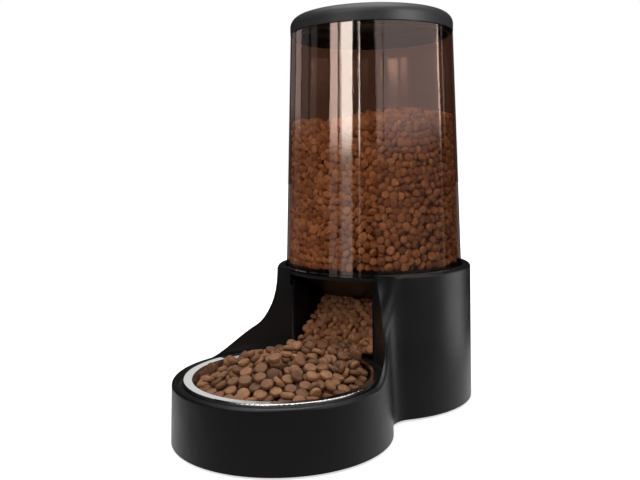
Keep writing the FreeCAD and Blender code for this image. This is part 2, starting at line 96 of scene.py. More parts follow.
def colour(name, default, description):
    return FloatVectorProperty(name=name, description=description, default=default, size=3,
                               min=0.0, max=1.0, subtype="COLOR")


def length(name, default, description):
    return FloatProperty(name=name, description=description, default=default, min=0.0,
                         unit="LENGTH", subtype="DISTANCE", precision=4)


def factor(name, default, description, high=1.0):
    return FloatProperty(name=name, description=description, default=default, min=0.0, max=high,
                         subtype="FACTOR")


class FeederFinishes(PropertyGroup):
    """Colours and gloss of the feeder's own parts."""

    black: colour("Black plastic", (0.0095, 0.0095, 0.0102), "Colour of the moulded base and lid")
    black_rough: factor("Plastic roughness", 0.36, "How satin the black plastic is")
    smoke: colour("Smoked clear", (0.80, 0.74, 0.70), "What one face of the tank's wall lets through")
    steel: colour("Steel", (0.72, 0.71, 0.69), "Colour of the polished bowl")
    zinc: colour("Screws", (0.46, 0.46, 0.45), "Colour of the plated screws")
    rubber: colour("Rubber", (0.018, 0.018, 0.018), "Colour of the feet and the lid's seal")


class FeederFood(PropertyGroup):
    """Size, number and colour of the pieces of dry food."""

    pale: colour("Pale food", (0.56, 0.27, 0.125), "Colour of the palest pieces")
    dark: colour("Dark food", (0.29, 0.115, 0.05), "Colour of the darkest pieces")
    bowl_size: length("Bowl piece", 0.0114, "Width of a piece of food in the bowl")
    tank_size: length("Tank piece", 0.0088, "Width of a piece of food in the tank")
    chute_size: length("Chute piece", 0.0096, "Width of a piece of food on the chute")
    bowl_count: IntProperty(name="Bowl pieces", description="Most pieces in the bowl's heap",
                            default=360, min=10, max=900)
    tank_count: IntProperty(name="Tank pieces", description="Pieces in each layer against the wall",
                            default=1500, min=10, max=3000)
    chute_count: IntProperty(name="Chute pieces", description="Pieces in each layer on the chute",
                             default=125, min=10, max=600)


class FeederStudio(PropertyGroup):
    """Light and camera."""

    top: FloatProperty(name="Top light", description="Radiance of the soft box overhead",
                       default=2.6, min=0.0)
    fill: FloatProperty(name="Front light", description="Radiance of the soft box in front",
                        default=1.9, min=0.0)
    side: FloatProperty(name="Side light", description="Radiance of the soft box at the right",
                        default=1.0, min=0.0)
    strips: FloatProperty(name="Strip lights", description="Strength of the strips mirrored in the tank",
                          default=1.0, min=0.0)
    room: FloatProperty(name="Room light", description="Even light from the front", default=0.24, min=0.0)
    back: FloatProperty(name="Back light", description="Even light from behind", default=0.85, min=0.0)
    eye: FloatVectorProperty(name="Camera place", description="Where the camera stands",
                             default=(0.4113, TANK_AXIS.y - 0.6575, 0.2407), size=3,
                             unit="LENGTH", subtype="TRANSLATION")
    turn: FloatVectorProperty(name="Camera turn", description="Pitch down, roll and yaw",
                              default=(math.radians(5.76), math.radians(0.94), math.radians(36.13)),
                              size=3, unit="ROTATION", subtype="EULER")
    lens: FloatProperty(name="Lens", description="Focal length in millimetres", default=41.77,
                        min=10.0, unit="CAMERA")


# ---------------------------------------------------------------------------- materials


def new_material(name):
    """An empty material with its output node."""
    mat = bpy.data.materials.new(name)
    mat.use_nodes = True
    tree = mat.node_tree
    tree.nodes.clear()
    output = tree.nodes.new("ShaderNodeOutputMaterial")
    return mat, tree, output


def add(tree, kind, **settings):
    """A node with its settings, and its inputs by name under the key sockets."""
    node = tree.nodes.new(kind)
    for socket, value in settings.pop("sockets", {}).items():
        node.inputs[socket].default_value = value
    for key, value in settings.items():
        setattr(node, key, value)
    return node


def place(tree, scale=(1, 1, 1), offset=(0, 0, 0)):
    """Object coordinates, moved and scaled."""
    coords = add(tree, "ShaderNodeTexCoord")
    mapping = add(tree, "ShaderNodeMapping", sockets={"Scale": scale, "Location": offset})
    tree.links.new(coords.outputs["Object"], mapping.inputs["Vector"])
    return mapping.outputs["Vector"]


def noise(tree, vector, scale, detail=3.0, roughness=0.55):
    node = add(tree, "ShaderNodeTexNoise",
               sockets={"Scale": scale, "Detail": detail, "Roughness": roughness})
    tree.links.new(vector, node.inputs["Vector"])
    return node.outputs["Fac"]


def spread_value(tree, value, low, high, start=0.3, end=0.7):
    """Turns a pattern value into a range of another value."""
    node = add(tree, "ShaderNodeMapRange",
               sockets={"From Min": start, "From Max": end, "To Min": low, "To Max": high})
    tree.links.new(value, node.inputs["Value"])
    return node.outputs["Result"]


def blend_colour(tree, value, first, second):
    node = add(tree, "ShaderNodeMix", data_type="RGBA")
    node.inputs[6].default_value = (*first, 1)
    node.inputs[7].default_value = (*second, 1)
    tree.links.new(value, node.inputs[0])
    return node.outputs[2]


def bump(tree, height, strength, distance, under=None):
    node = add(tree, "ShaderNodeBump", sockets={"Strength": strength, "Distance": distance})
    tree.links.new(height, node.inputs["Height"])
    if under is not None:
        tree.links.new(under, node.inputs["Normal"])
    return node.outputs["Normal"]


def moulded_plastic(name, base, rough, grain=1800.0, grain_depth=0.00003, ior_level=0.5):
    """Satin moulded plastic: fine spark grain, soft handling marks and a little flow shading."""
    mat, tree, output = new_material(name)
    link = tree.links.new
    shader = add(tree, "ShaderNodeBsdfPrincipled", sockets={"Specular IOR Level": ior_level})
    here = place(tree)
    marks = noise(tree, here, 28.0, 4.0)
    link(spread_value(tree, marks, rough - 0.05, rough + 0.06), shader.inputs["Roughness"])
    lighter = tuple(min(1.0, c * 1.25 + 0.0008) for c in base)
    link(blend_colour(tree, noise(tree, here, 11.0, 2.0), base, lighter), shader.inputs["Base Color"])
    flow = bump(tree, noise(tree, here, 9.0, 1.0), 0.10, 0.0004)
    link(bump(tree, noise(tree, here, grain, 2.0), 0.35, grain_depth, flow), shader.inputs["Normal"])
    link(shader.outputs["BSDF"], output.inputs["Surface"])
    return mat


def mirror_share(tree, normal, least=0.04, most=0.55):
    """How much a clear plastic skin mirrors, the same from inside and outside."""
    facing = add(tree, "ShaderNodeLayerWeight", sockets={"Blend": 0.5})
    slope = add(tree, "ShaderNodeMath", operation="POWER")
    slope.inputs[1].default_value = 5.0
    share = add(tree, "ShaderNodeMath", operation="MULTIPLY_ADD")
    share.inputs[1].default_value = most - least
    share.inputs[2].default_value = least
    tree.links.new(normal, facing.inputs["Normal"])
    tree.links.new(facing.outputs["Facing"], slope.inputs[0])
    tree.links.new(slope.outputs[0], share.inputs[0])
    return share.outputs[0]


def outer_skin(tree, inner):
    """One on the outside of the tapered wall and a lower value on its duller inside."""
    axis = (TANK_AXIS.x, TANK_AXIS.y)
    split = add(tree, "ShaderNodeSeparateXYZ")
    tree.links.new(place(tree, offset=(-axis[0], -axis[1], 0)), split.inputs[0])
    flat = add(tree, "ShaderNodeCombineXYZ")
    tree.links.new(split.outputs["X"], flat.inputs["X"])
    tree.links.new(split.outputs["Y"], flat.inputs["Y"])
    out = add(tree, "ShaderNodeVectorMath", operation="LENGTH")
    tree.links.new(flat.outputs[0], out.inputs[0])
    upright = add(tree, "ShaderNodeMath", operation="MULTIPLY_ADD")
    upright.inputs[1].default_value = TANK_TAPER
    tree.links.new(split.outputs["Z"], upright.inputs[0])
    tree.links.new(out.outputs["Value"], upright.inputs[2])
    outside = TANK_FOOT_R + TANK_TAPER * TANK_LOW.z
    return spread_value(tree, upright.outputs[0], inner, 1.0, outside - 0.0020, outside - 0.0014)


def smoked_wall(name, tint):
    """Glossy tinted clear wall: tinted see-through body under a clear reflecting skin."""
    mat, tree, output = new_material(name)
    link = tree.links.new
    body = add(tree, "ShaderNodeBsdfTransparent")
    skin = add(tree, "ShaderNodeBsdfAnisotropic", sockets={"Roughness": 0.05})
    skin.inputs["Color"].default_value = (1.0, 0.96, 0.94, 1)
    mix = add(tree, "ShaderNodeMixShader")
    streaks = noise(tree, place(tree, (1, 1, 0.01)), 260.0, 3.0, 0.6)
    waves = noise(tree, place(tree, (1, 1, 0.03)), 60.0, 1.0)
    deep = tuple(c * 0.93 for c in tint)
    link(blend_colour(tree, streaks, tint, deep), body.inputs["Color"])
    rippled = bump(tree, waves, 0.30, 0.0006)
    normal = bump(tree, streaks, 0.35, 0.00012, rippled)
    link(normal, skin.inputs["Normal"])
    shine = add(tree, "ShaderNodeMath", operation="MULTIPLY")
    link(mirror_share(tree, normal), shine.inputs[0])
    link(outer_skin(tree, 0.3), shine.inputs[1])
    link(shine.outputs[0], mix.inputs["Fac"])
    link(body.outputs["BSDF"], mix.inputs[1])
    link(skin.outputs["BSDF"], mix.inputs[2])
    link(mix.outputs["Shader"], output.inputs["Surface"])
    return mat


def polished_steel(name, base, rough=0.16):
    """Bright stainless steel with faint turning lines."""
    mat, tree, output = new_material(name)
    link = tree.links.new
    shader = add(tree, "ShaderNodeBsdfPrincipled", sockets={"Metallic": 1.0})
    here = place(tree)
    smears = noise(tree, here, 45.0, 4.0)
    link(spread_value(tree, smears, rough - 0.05, rough + 0.08), shader.inputs["Roughness"])
    darker = tuple(c * 0.9 for c in base)
    link(blend_colour(tree, smears, base, darker), shader.inputs["Base Color"])
    lines = add(tree, "ShaderNodeTexWave", wave_type="RINGS", rings_direction="Z",
                sockets={"Scale": 420.0, "Distortion": 0.6, "Detail": 2.0})
    link(place(tree, offset=(-BOWL_AXIS.x, -BOWL_AXIS.y, 0)), lines.inputs["Vector"])
    link(bump(tree, lines.outputs["Fac"], 0.04, 0.00001), shader.inputs["Normal"])
    link(shader.outputs["BSDF"], output.inputs["Surface"])
    return mat


def plated_screw(name, base):
    """Zinc-plated steel, a little clouded."""
    mat, tree, output = new_material(name)
    link = tree.links.new
    shader = add(tree, "ShaderNodeBsdfPrincipled", sockets={"Metallic": 1.0})
    cloud = noise(tree, place(tree), 700.0, 4.0)
    link(spread_value(tree, cloud, 0.24, 0.42), shader.inputs["Roughness"])
    link(blend_colour(tree, cloud, base, tuple(c * 0.75 for c in base)), shader.inputs["Base Color"])
    link(bump(tree, cloud, 0.2, 0.00005), shader.inputs["Normal"])
    link(shader.outputs["BSDF"], output.inputs["Surface"])
    return mat


def soft_rubber(name, base):
    """Matte rubber with a fine pitted skin."""
    mat, tree, output = new_material(name)
    link = tree.links.new
    shader = add(tree, "ShaderNodeBsdfPrincipled")
    here = place(tree)
    pits = noise(tree, here, 1400.0, 3.0)
    link(spread_value(tree, noise(tree, here, 90.0), 0.7, 0.9), shader.inputs["Roughness"])
    link(blend_colour(tree, pits, base, tuple(c * 1.6 for c in base)), shader.inputs["Base Color"])
    link(bump(tree, pits, 0.4, 0.0001), shader.inputs["Normal"])
    link(shader.outputs["BSDF"], output.inputs["Surface"])
    return mat


def baked_food(name, dark, pale, shine=0.32):
    """Dry baked food: each piece its own brown, with crumbly grain, pores and a paler dusting."""
    mat, tree, output = new_material(name)
    link = tree.links.new
    shader = add(tree, "ShaderNodeBsdfPrincipled", sockets={"Specular IOR Level": shine})
    here = place(tree)
    tone = add(tree, "ShaderNodeAttribute", attribute_name="tone")
    own = blend_colour(tree, tone.outputs["Fac"], dark, pale)
    mottle = noise(tree, here, 330.0, 4.0, 0.62)
    patch = add(tree, "ShaderNodeMix", data_type="RGBA", blend_type="MULTIPLY")
    patch.inputs[0].default_value = 0.75
    link(own, patch.inputs[6])
    link(blend_colour(tree, spread_value(tree, mottle, 0.0, 1.0, 0.32, 0.68), (0.62, 0.55, 0.5),
                      (1.18, 1.15, 1.1)), patch.inputs[7])
    link(patch.outputs[2], shader.inputs["Base Color"])
    link(spread_value(tree, mottle, 0.52, 0.8), shader.inputs["Roughness"])
    crumbs = bump(tree, noise(tree, here, 1500.0, 3.0), 0.55, 0.00022)
    link(bump(tree, mottle, 0.7, 0.0008, crumbs), shader.inputs["Normal"])
    link(shader.outputs["BSDF"], output.inputs["Surface"])
    return mat


def food_shadow(name, base):
    """Painted shade: the food seen deep between the outer pieces, painted a very dark brown."""
    mat, tree, output = new_material(name)
    link = tree.links.new
    shader = add(tree, "ShaderNodeBsdfPrincipled", sockets={"Roughness": 0.95})
    lumps = noise(tree, place(tree), 160.0, 3.0)
    link(blend_colour(tree, lumps, tuple(c * 0.10 for c in base), tuple(c * 0.35 for c in base)),
         shader.inputs["Base Color"])
    link(bump(tree, lumps, 1.0, 0.002), shader.inputs["Normal"])
    link(shader.outputs["BSDF"], output.inputs["Surface"])
    return mat


def pale_floor(name):
    """Plain white studio floor that runs into the white room a little way off."""
    mat, tree, output = new_material(name)
    link = tree.links.new
    shader = add(tree, "ShaderNodeBsdfPrincipled",
                 sockets={"Roughness": 0.95, "Specular IOR Level": 0.0})
    shader.inputs["Emission Color"].default_value = (1, 1, 1, 1)
    here = place(tree)
    link(blend_colour(tree, noise(tree, here, 2.0, 2.0), (0.93, 0.93, 0.93), (0.95, 0.95, 0.95)),
         shader.inputs["Base Color"])
    away = add(tree, "ShaderNodeVectorMath", operation="LENGTH")
    link(here, away.inputs[0])
    link(spread_value(tree, away.outputs["Value"], 0.62, 1.0, 0.15, 0.55), shader.inputs["Emission Strength"])
    path = add(tree, "ShaderNodeLightPath")
    through = add(tree, "ShaderNodeMath", operation="GREATER_THAN")
    through.inputs[1].default_value = 0.5
    smoky = add(tree, "ShaderNodeEmission", sockets={"Color": (0.30, 0.24, 0.23, 1)})
    seen = add(tree, "ShaderNodeMixShader")
    link(path.outputs["Transparent Depth"], through.inputs[0])
    link(through.outputs[0], seen.inputs[0])
    link(shader.outputs["BSDF"], seen.inputs[1])
    link(smoky.outputs[0], seen.inputs[2])
    link(seen.outputs[0], output.inputs["Surface"])
    return mat


def strip_tent(name, centre, towards, strips, strength):
    """Light of the striped tent round the tank: bright above the horizon and fading below it."""
    mat, tree, output = new_material(name)
    link = tree.links.new
    moved = place(tree, offset=(-centre[0], -centre[1], 0))
    turned = add(tree, "ShaderNodeMapping", sockets={"Rotation": (0, 0, -towards)})
    round_tent = add(tree, "ShaderNodeTexGradient", gradient_type="RADIAL")
    link(moved, turned.inputs["Vector"])
    link(turned.outputs["Vector"], round_tent.inputs["Vector"])
    ramp = add(tree, "ShaderNodeValToRGB")
    ramp.color_ramp.interpolation = "CONSTANT"
    stops = ramp.color_ramp.elements
    edges = [edge for start, end, light in strips for edge in ((start, light), (end, (0, 0, 0)))]
    for index, (angle, light) in enumerate([(-180, (0, 0, 0)), *edges]):
        stop = stops[index] if index < 2 else stops.new(1.0)
        stop.position = 0.5 + angle / 360.0
        stop.color = (*light, 1)
    link(round_tent.outputs["Fac"], ramp.inputs["Fac"])
    axes = add(tree, "ShaderNodeSeparateXYZ")
    link(moved, axes.inputs[0])
    fade = add(tree, "ShaderNodeMapRange", interpolation_type="SMOOTHSTEP",
               sockets={"From Min": 0.34, "From Max": 0.47, "To Min": 0.09 * strength, "To Max": strength})
    link(axes.outputs["Z"], fade.inputs["Value"])
    shader = add(tree, "ShaderNodeEmission")
    link(ramp.outputs["Color"], shader.inputs["Color"])
    link(fade.outputs["Result"], shader.inputs["Strength"])
    link(shader.outputs["Emission"], output.inputs["Surface"])
    return mat


def paint(mat, *names):
    """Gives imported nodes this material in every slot."""
    for name in names:
        for slot in NODES[name].material_slots:
            slot.material = mat


# ---------------------------------------------------------------------------- shared steps


def object_from(bm, name, smooth=False):
    """Turns an edit mesh into an object of the scene."""
    mesh = bpy.data.meshes.new(name)
    bm.to_mesh(mesh)
    bm.free()
    if smooth:
        mesh.shade_smooth()
    obj = bpy.data.objects.new(name, mesh)
    bpy.context.scene.collection.objects.link(obj)
    return obj


def lit_only(lamp, receivers):
    """Keeps a light for these objects alone."""
    group = bpy.data.collections.new(lamp.name + "_receivers")
    for obj in receivers:
        group.objects.link(obj)
    lamp.light_linking.receiver_collection = group


def soft_box(name, aim, towards, azimuth, elevation, distance, size, radiance, receivers=None):
    """A square soft box that looks at aim from a direction given in degrees round from the camera."""
    turn, lift = towards + math.radians(azimuth), math.radians(elevation)
    out = Vector((math.cos(turn) * math.cos(lift), math.sin(turn) * math.cos(lift), math.sin(lift)))
    data = bpy.data.lights.new(name, "AREA")
    data.size = size
    data.energy = radiance * size * size * math.pi
    lamp = bpy.data.objects.new(name, data)
    bpy.context.scene.collection.objects.link(lamp)
    facing = out.to_track_quat("Z", "Y").to_matrix().to_4x4()
    lamp.matrix_world = Matrix.Translation(Vector(aim) + out * distance) @ facing
    lamp.visible_camera = False
    if receivers:
        lit_only(lamp, receivers)


# ---------------------------------------------------------------------------- food pieces


def food_piece(width, thickness, steps=12):
    """One pressed disc of food with nearly flat faces and a rounded edge, as a mesh at the origin."""
    bm = bmesh.new()
    r, h = width / 2, thickness / 2
    half = [(0.0, h), (0.72 * r, h * 0.97), (0.91 * r, h * 0.76), (r, h * 0.28)]
    outline = half + [(x, -z) for x, z in reversed(half)]
    points = [bm.verts.new((x, 0.0, z)) for x, z in outline]
    edges = [bm.edges.new(pair) for pair in zip(points, points[1:])]
    bmesh.ops.spin(bm, geom=points + edges, cent=(0, 0, 0), axis=(0, 0, 1), angle=2 * math.pi,
                   steps=steps, use_merge=True)
    bmesh.ops.remove_doubles(bm, verts=bm.verts, dist=width * 0.001)
    bmesh.ops.recalc_face_normals(bm, faces=bm.faces)
    mesh = bpy.data.meshes.new("food_piece")
    bm.to_mesh(mesh)
    bm.free()
    mesh.attributes.new("tone", "FLOAT", "POINT")
    return mesh


def pile(name, piece, places, rng):
    """Many pieces of food in one mesh. places are 4 by 4 matrices."""
    bm = bmesh.new()
    tone = piece.attributes["tone"]
    count = len(piece.vertices)
    for matrix in places:
        tone.data.foreach_set("value", np.full(count, rng.uniform(0.0, 1.0), np.float32))
        piece.transform(matrix)
        bm.from_mesh(piece)
        piece.transform(matrix.inverted())
    mesh = bpy.data.meshes.new(name)
    bm.to_mesh(mesh)
    bm.free()
    mesh.shade_smooth()
    mesh.set_sharp_from_angle(angle=math.radians(38))
    obj = bpy.data.objects.new(name, mesh)
    bpy.context.scene.collection.objects.link(obj)
    return obj


def even_points(count, wide, high, reach, rng, wrap=False, inside=None, rounds=60):
    """Points spread evenly over a rectangle by pushing near ones apart."""
    points = rng.uniform((0, 0), (wide, high), (count, 2))
    for _ in range(rounds):
        gap = points[:, None, :] - points[None, :, :]
        if wrap:
            gap[..., 0] -= wide * np.round(gap[..., 0] / wide)
        far = np.hypot(gap[..., 0], gap[..., 1])
        np.fill_diagonal(far, 1e9)
        push = np.clip(reach - far, 0, None) / (far + 1e-9) * 0.35
        points += (gap * push[..., None]).sum(1)
        if wrap:
            points[:, 0] %= wide
        else:
            points[:, 0] = np.clip(points[:, 0], 0, wide)
        points[:, 1] = np.clip(points[:, 1], 0, high)
        if inside is not None:
            points = inside(points)
    return points


def lying(place_at, normal, rng, tilt, squash=0.12):
    """A matrix that lays a disc at a place, its flat side along normal, tipped and turned a little."""
    normal = Vector(normal).normalized()
    base = normal.to_track_quat("Z", "Y").to_matrix().to_4x4()
    tip = Euler((rng.normal(0, tilt), rng.normal(0, tilt), rng.uniform(0, 2 * math.pi))).to_matrix()
    size = [1 + rng.uniform(-squash, squash) for _ in range(3)]
    return Matrix.Translation(place_at) @ base @ tip.to_4x4() @ Matrix.Diagonal((*size, 1))


def settle(piece, starts, still, frames):
    """Drops pieces on still shapes until they lie quiet. Worked a hundred times larger than life."""
    scene = bpy.context.scene
    grow = Matrix.Scale(100, 4)
    big = piece.copy()
    big.transform(grow)
    loose = []
    for start in starts:
        body = bpy.data.objects.new("loose", big)
        scene.collection.objects.link(body)
        place_at, turn, _ = start.decompose()
        body.matrix_world = Matrix.Translation(place_at * 100) @ turn.to_matrix().to_4x4()
        loose.append(body)
    fixed = []
    for shape in still:
        body = bpy.data.objects.new("fixed", shape)
        shape.transform(grow)
        scene.collection.objects.link(body)
        fixed.append(body)
    bpy.ops.rigidbody.world_add()
    for group, kind, form in ((loose, "ACTIVE", "CONVEX_HULL"), (fixed, "PASSIVE", "MESH")):
        bpy.ops.object.select_all(action="DESELECT")
        for body in group:
            body.select_set(True)
        bpy.context.view_layer.objects.active = group[0]
        bpy.ops.rigidbody.objects_add(type=kind)
        for body in group:
            body.rigid_body.collision_shape = form
            body.rigid_body.friction = 0.85
            body.rigid_body.restitution = 0.0
            body.rigid_body.linear_damping = 0.12
            body.rigid_body.angular_damping = 0.35
            body.rigid_body.use_margin = True
            body.rigid_body.collision_margin = 0.015
    world = scene.rigidbody_world
    world.substeps_per_frame = 8
    world.solver_iterations = 12
    world.point_cache.frame_end = frames
    gravity = scene.gravity.copy()
    scene.gravity = (0, 0, -40)
    for frame_number in range(1, frames + 1):
        scene.frame_set(frame_number)
    rests = []
    for body in loose:
        place_at, turn, _ = body.matrix_world.decompose()
        rests.append(Matrix.Translation(place_at / 100) @ turn.to_matrix().to_4x4())
    bpy.ops.rigidbody.world_remove()
    for body in loose + fixed:
        bpy.data.objects.remove(body)
    scene.gravity = gravity
    scene.frame_set(1)
    return rests


def height_field(name, height, wide, centre, steps=72):
    """A square sheet about centre whose height follows a function of x and y."""
    bm = bmesh.new()
    bmesh.ops.create_grid(bm, x_segments=steps, y_segments=steps, size=wide)
    for v in bm.verts:
        v.co = (centre[0] + v.co.x, centre[1] + v.co.y, height(v.co.x, v.co.y))
    mesh = bpy.data.meshes.new(name)
    bm.to_mesh(mesh)
    bm.free()
    return mesh


def core_form(name, profile, centre, steps=96):
    """A round body spun from (radius, height) points, closed at both ends on its axis."""
    bm = bmesh.new()
    points = [bm.verts.new((centre[0] + r, centre[1], z)) for r, z in profile]
    edges = [bm.edges.new(pair) for pair in zip(points, points[1:])]
    bmesh.ops.spin(bm, geom=points + edges, cent=(centre[0], centre[1], 0), axis=(0, 0, 1),
                   angle=2 * math.pi, steps=steps, use_merge=True)
    bmesh.ops.remove_doubles(bm, verts=bm.verts, dist=0.00001)
    bmesh.ops.recalc_face_normals(bm, faces=bm.faces)
    mesh = bpy.data.meshes.new(name)
    bm.to_mesh(mesh)
    bm.free()
    mesh.shade_smooth()
    obj = bpy.data.objects.new(name, mesh)
    bpy.context.scene.collection.objects.link(obj)
    return obj


# ---------------------------------------------------------------------------- operators


class FeederOperator:
    """Shared settings of the feeder's operators."""

    bl_options = {"REGISTER", "UNDO"}


class FEEDER_OT_base(FeederOperator, Operator):
    """Gives the moulded base and seat their satin black plastic, and the cover and chute a darker matte copy
    of it as painted shade
    """

    bl_idname = "feeder.base"
    bl_label = "Base"

    def execute(self, context):
        look = context.scene.feeder_finishes
        black = moulded_plastic("satin_black_plastic", tuple(look.black), look.black_rough)
        paint(black, "base_shell", "hopper_seat")
        # Painted shade: the cover and the chute tray get the same black plastic painted 0.4 times as dark,
        # for the shade inside and under the base.
        dark = tuple(c * 0.4 for c in look.black)
        inner = moulded_plastic("matte_black_plastic_painted_shade", dark, look.black_rough + 0.2, ior_level=0.2)
        paint(inner, "bottom_cover", "chute_tray")
        return {"FINISHED"}


class FEEDER_OT_lid(FeederOperator, Operator):
    """Gives the lid its smoother black plastic and its seal a soft rubber"""

    bl_idname = "feeder.lid"
    bl_label = "Lid"

    def execute(self, context):
        look = context.scene.feeder_finishes
        # Painted light: the lid's black is the base's black plastic painted 3.3 times lighter, so that it
        # looks lit.
        black = tuple(c * 3.3 for c in look.black)
        paint(moulded_plastic("lid_black_plastic", black, look.black_rough + 0.04), "lid_cap", "lid_plug")
        paint(soft_rubber("silicone_seal", tuple(look.rubber)), "lid_seal")
        return {"FINISHED"}


class FEEDER_OT_tank(FeederOperator, Operator):
    """Gives the tank its smoked clear wall"""

    bl_idname = "feeder.tank"
    bl_label = "Tank"

    def execute(self, context):
        paint(smoked_wall("smoked_clear", tuple(context.scene.feeder_finishes.smoke)), "tank")
        return {"FINISHED"}


class FEEDER_OT_bowl(FeederOperator, Operator):
    """Polishes the steel bowl"""

    bl_idname = "feeder.bowl"
    bl_label = "Steel bowl"

    def execute(self, context):
        paint(polished_steel("polished_steel", tuple(context.scene.feeder_finishes.steel)), "steel_bowl")
        return {"FINISHED"}


class FEEDER_OT_hardware(FeederOperator, Operator):
    """Finishes the screws and the rubber feet"""

    bl_idname = "feeder.hardware"
    bl_label = "Screws and feet"

    def execute(self, context):
        look = context.scene.feeder_finishes
        paint(plated_screw("zinc_plate", tuple(look.zinc)), "cover_screws", "seat_screws", "chute_screws")
        feet = [name for name in NODES if name.startswith("foot_")]
        paint(soft_rubber("foot_rubber", tuple(look.rubber)), *feet)
        return {"FINISHED"}


class FEEDER_OT_bowl_food(FeederOperator, Operator):
    """Heaps dry food in the bowl"""

    bl_idname = "feeder.bowl_food"
    bl_label = "Food in the bowl"

    def execute(self, context):
        food = context.scene.feeder_food
        rng = np.random.default_rng(11)
        centre = Vector((BOWL_AXIS.x, BOWL_AXIS.y, 0))
        size = food.bowl_size
        rim_z = BOWL_HIGH.z
        mouth, reach = 0.0775, 0.0868
        bed = size * 1.05

        def ramp(x, y):
            """The foot of the slope of food that comes down from the chute."""
            aside = max(0.0, abs(x) - 0.040)
            return 0.0665 + 0.85 * (y - 0.0815) - 0.9 * aside

        def height(x, y):
            r = min(1.0, math.hypot(x, y) / mouth)
            heap = rim_z - 0.0050 + (HEAP_HIGH.z - rim_z) * (1 - r**1.4)
            return max(heap, ramp(x, y))

        def bottom(x, y):
            return max(height(x, y) - bed, HEAP_LOW.z + 0.002)

        def edge(angle):
            """How far out the pieces may lie: over the steel rim at the back, inside it elsewhere."""
            behind = math.cos(angle - math.pi / 2)
            return mouth + (reach - mouth) * min(1.0, max(0.0, (behind - 0.72) / 0.12))

        def wall(z):
            """Inside radius of the bowl's sloping side."""
            return 0.0790 - 0.36 * max(0.0, rim_z - 0.001 - z)

        guard = bmesh.new()
        bmesh.ops.create_circle(guard, cap_ends=False, radius=1.0, segments=72)
        walls = bmesh.ops.extrude_edge_only(guard, edges=guard.edges)["geom"]
        raised = {v for v in walls if isinstance(v, bmesh.types.BMVert)}
        for v in guard.verts:
            angle = math.atan2(v.co.y, v.co.x)
            r = edge(angle)
            z = rim_z + (0.040 if r > mouth + 0.002 else -0.0012)
            if v not in raised:
                r, z = wall(0.020) - 0.0005, 0.020
            v.co = (centre.x + r * math.cos(angle), centre.y + r * math.sin(angle), z)
        fence = bpy.data.meshes.new("guard")
        guard.to_mesh(fence)
        guard.free()
        bed_form = height_field("bed", bottom, 0.10, centre)

        starts = []
        pitch = size * 1.08
        for layer in range(4):
            for column in range(-8, 9):
                for row in range(-8, 10):
                    x = (column + 0.5 * (row % 2) + rng.uniform(-0.12, 0.12)) * pitch
                    y = row * pitch * 0.87 + rng.uniform(-0.1, 0.1) * pitch
                    r = math.hypot(x, y)
                    inside = edge(math.atan2(y, x)) - size * 0.62
                    layers = 4 if r < 0.024 or y > 0.056 else 3 if r < 0.044 or y > 0.042 else 2
                    if r > inside or layer >= layers or len(starts) >= food.bowl_count:
                        continue
                    z = bottom(x, y) + size * (0.75 + layer * 0.85)
                    turn = Euler((*rng.normal(0, 0.5, 2), rng.uniform(0, 6.28))).to_matrix().to_4x4()
                    starts.append(Matrix.Translation(centre + Vector((x, y, z))) @ turn)
        piece = food_piece(size, size * 0.38)
        places = []
        for rest in settle(piece, starts, [bed_form, fence], 70):
            offset = rest.translation - centre
            out = math.hypot(offset.x, offset.y)
            if out > reach - size * 0.35 or offset.z < bottom(offset.x, offset.y) - size * 0.3:
                continue
            size_change = Matrix.Diagonal((*rng.uniform(0.90, 1.04, 2), rng.uniform(0.92, 1.12), 1))
            most = wall(offset.z - size * 0.3) - size * 0.54
            if offset.z < rim_z + size * 0.2 and out > most:
                rest.translation -= Vector((offset.x, offset.y, 0)) * (1 - most / out)
            places.append(rest @ size_change)
        pieces = pile("bowl_food", piece, places, rng)
        # Painted shade: the food in the bowl is the same food painted darker (dark times 0.50, pale times
        # 0.72) than in the tank and on the chute.
        pieces.data.materials.append(baked_food("baked_food_bowl", tuple(c * 0.50 for c in food.dark),
                                                tuple(c * 0.72 for c in food.pale), 0.55))
        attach(pieces, "bowl")
        profile = [(0, HEAP_LOW.z), (0.058, HEAP_LOW.z), (0.064, HEAP_LOW.z + 0.008)]
        profile += [(0.0720 * s, bottom(0.0720 * s, 0) + size * 0.1) for s in
                    (1.0, 0.9, 0.75, 0.6, 0.45, 0.3, 0.15, 0.0)]
        mound = core_form("bowl_food_core", profile, BOWL_AXIS)
        # Painted shade: the mound under the heap is painted very dark brown to stand for the shade between
        # the pieces.
        mound.data.materials.append(food_shadow("food_shadow_bowl", tuple(food.dark)))
        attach(mound, "bowl")
        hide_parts("food_in_bowl")
        return {"FINISHED"}


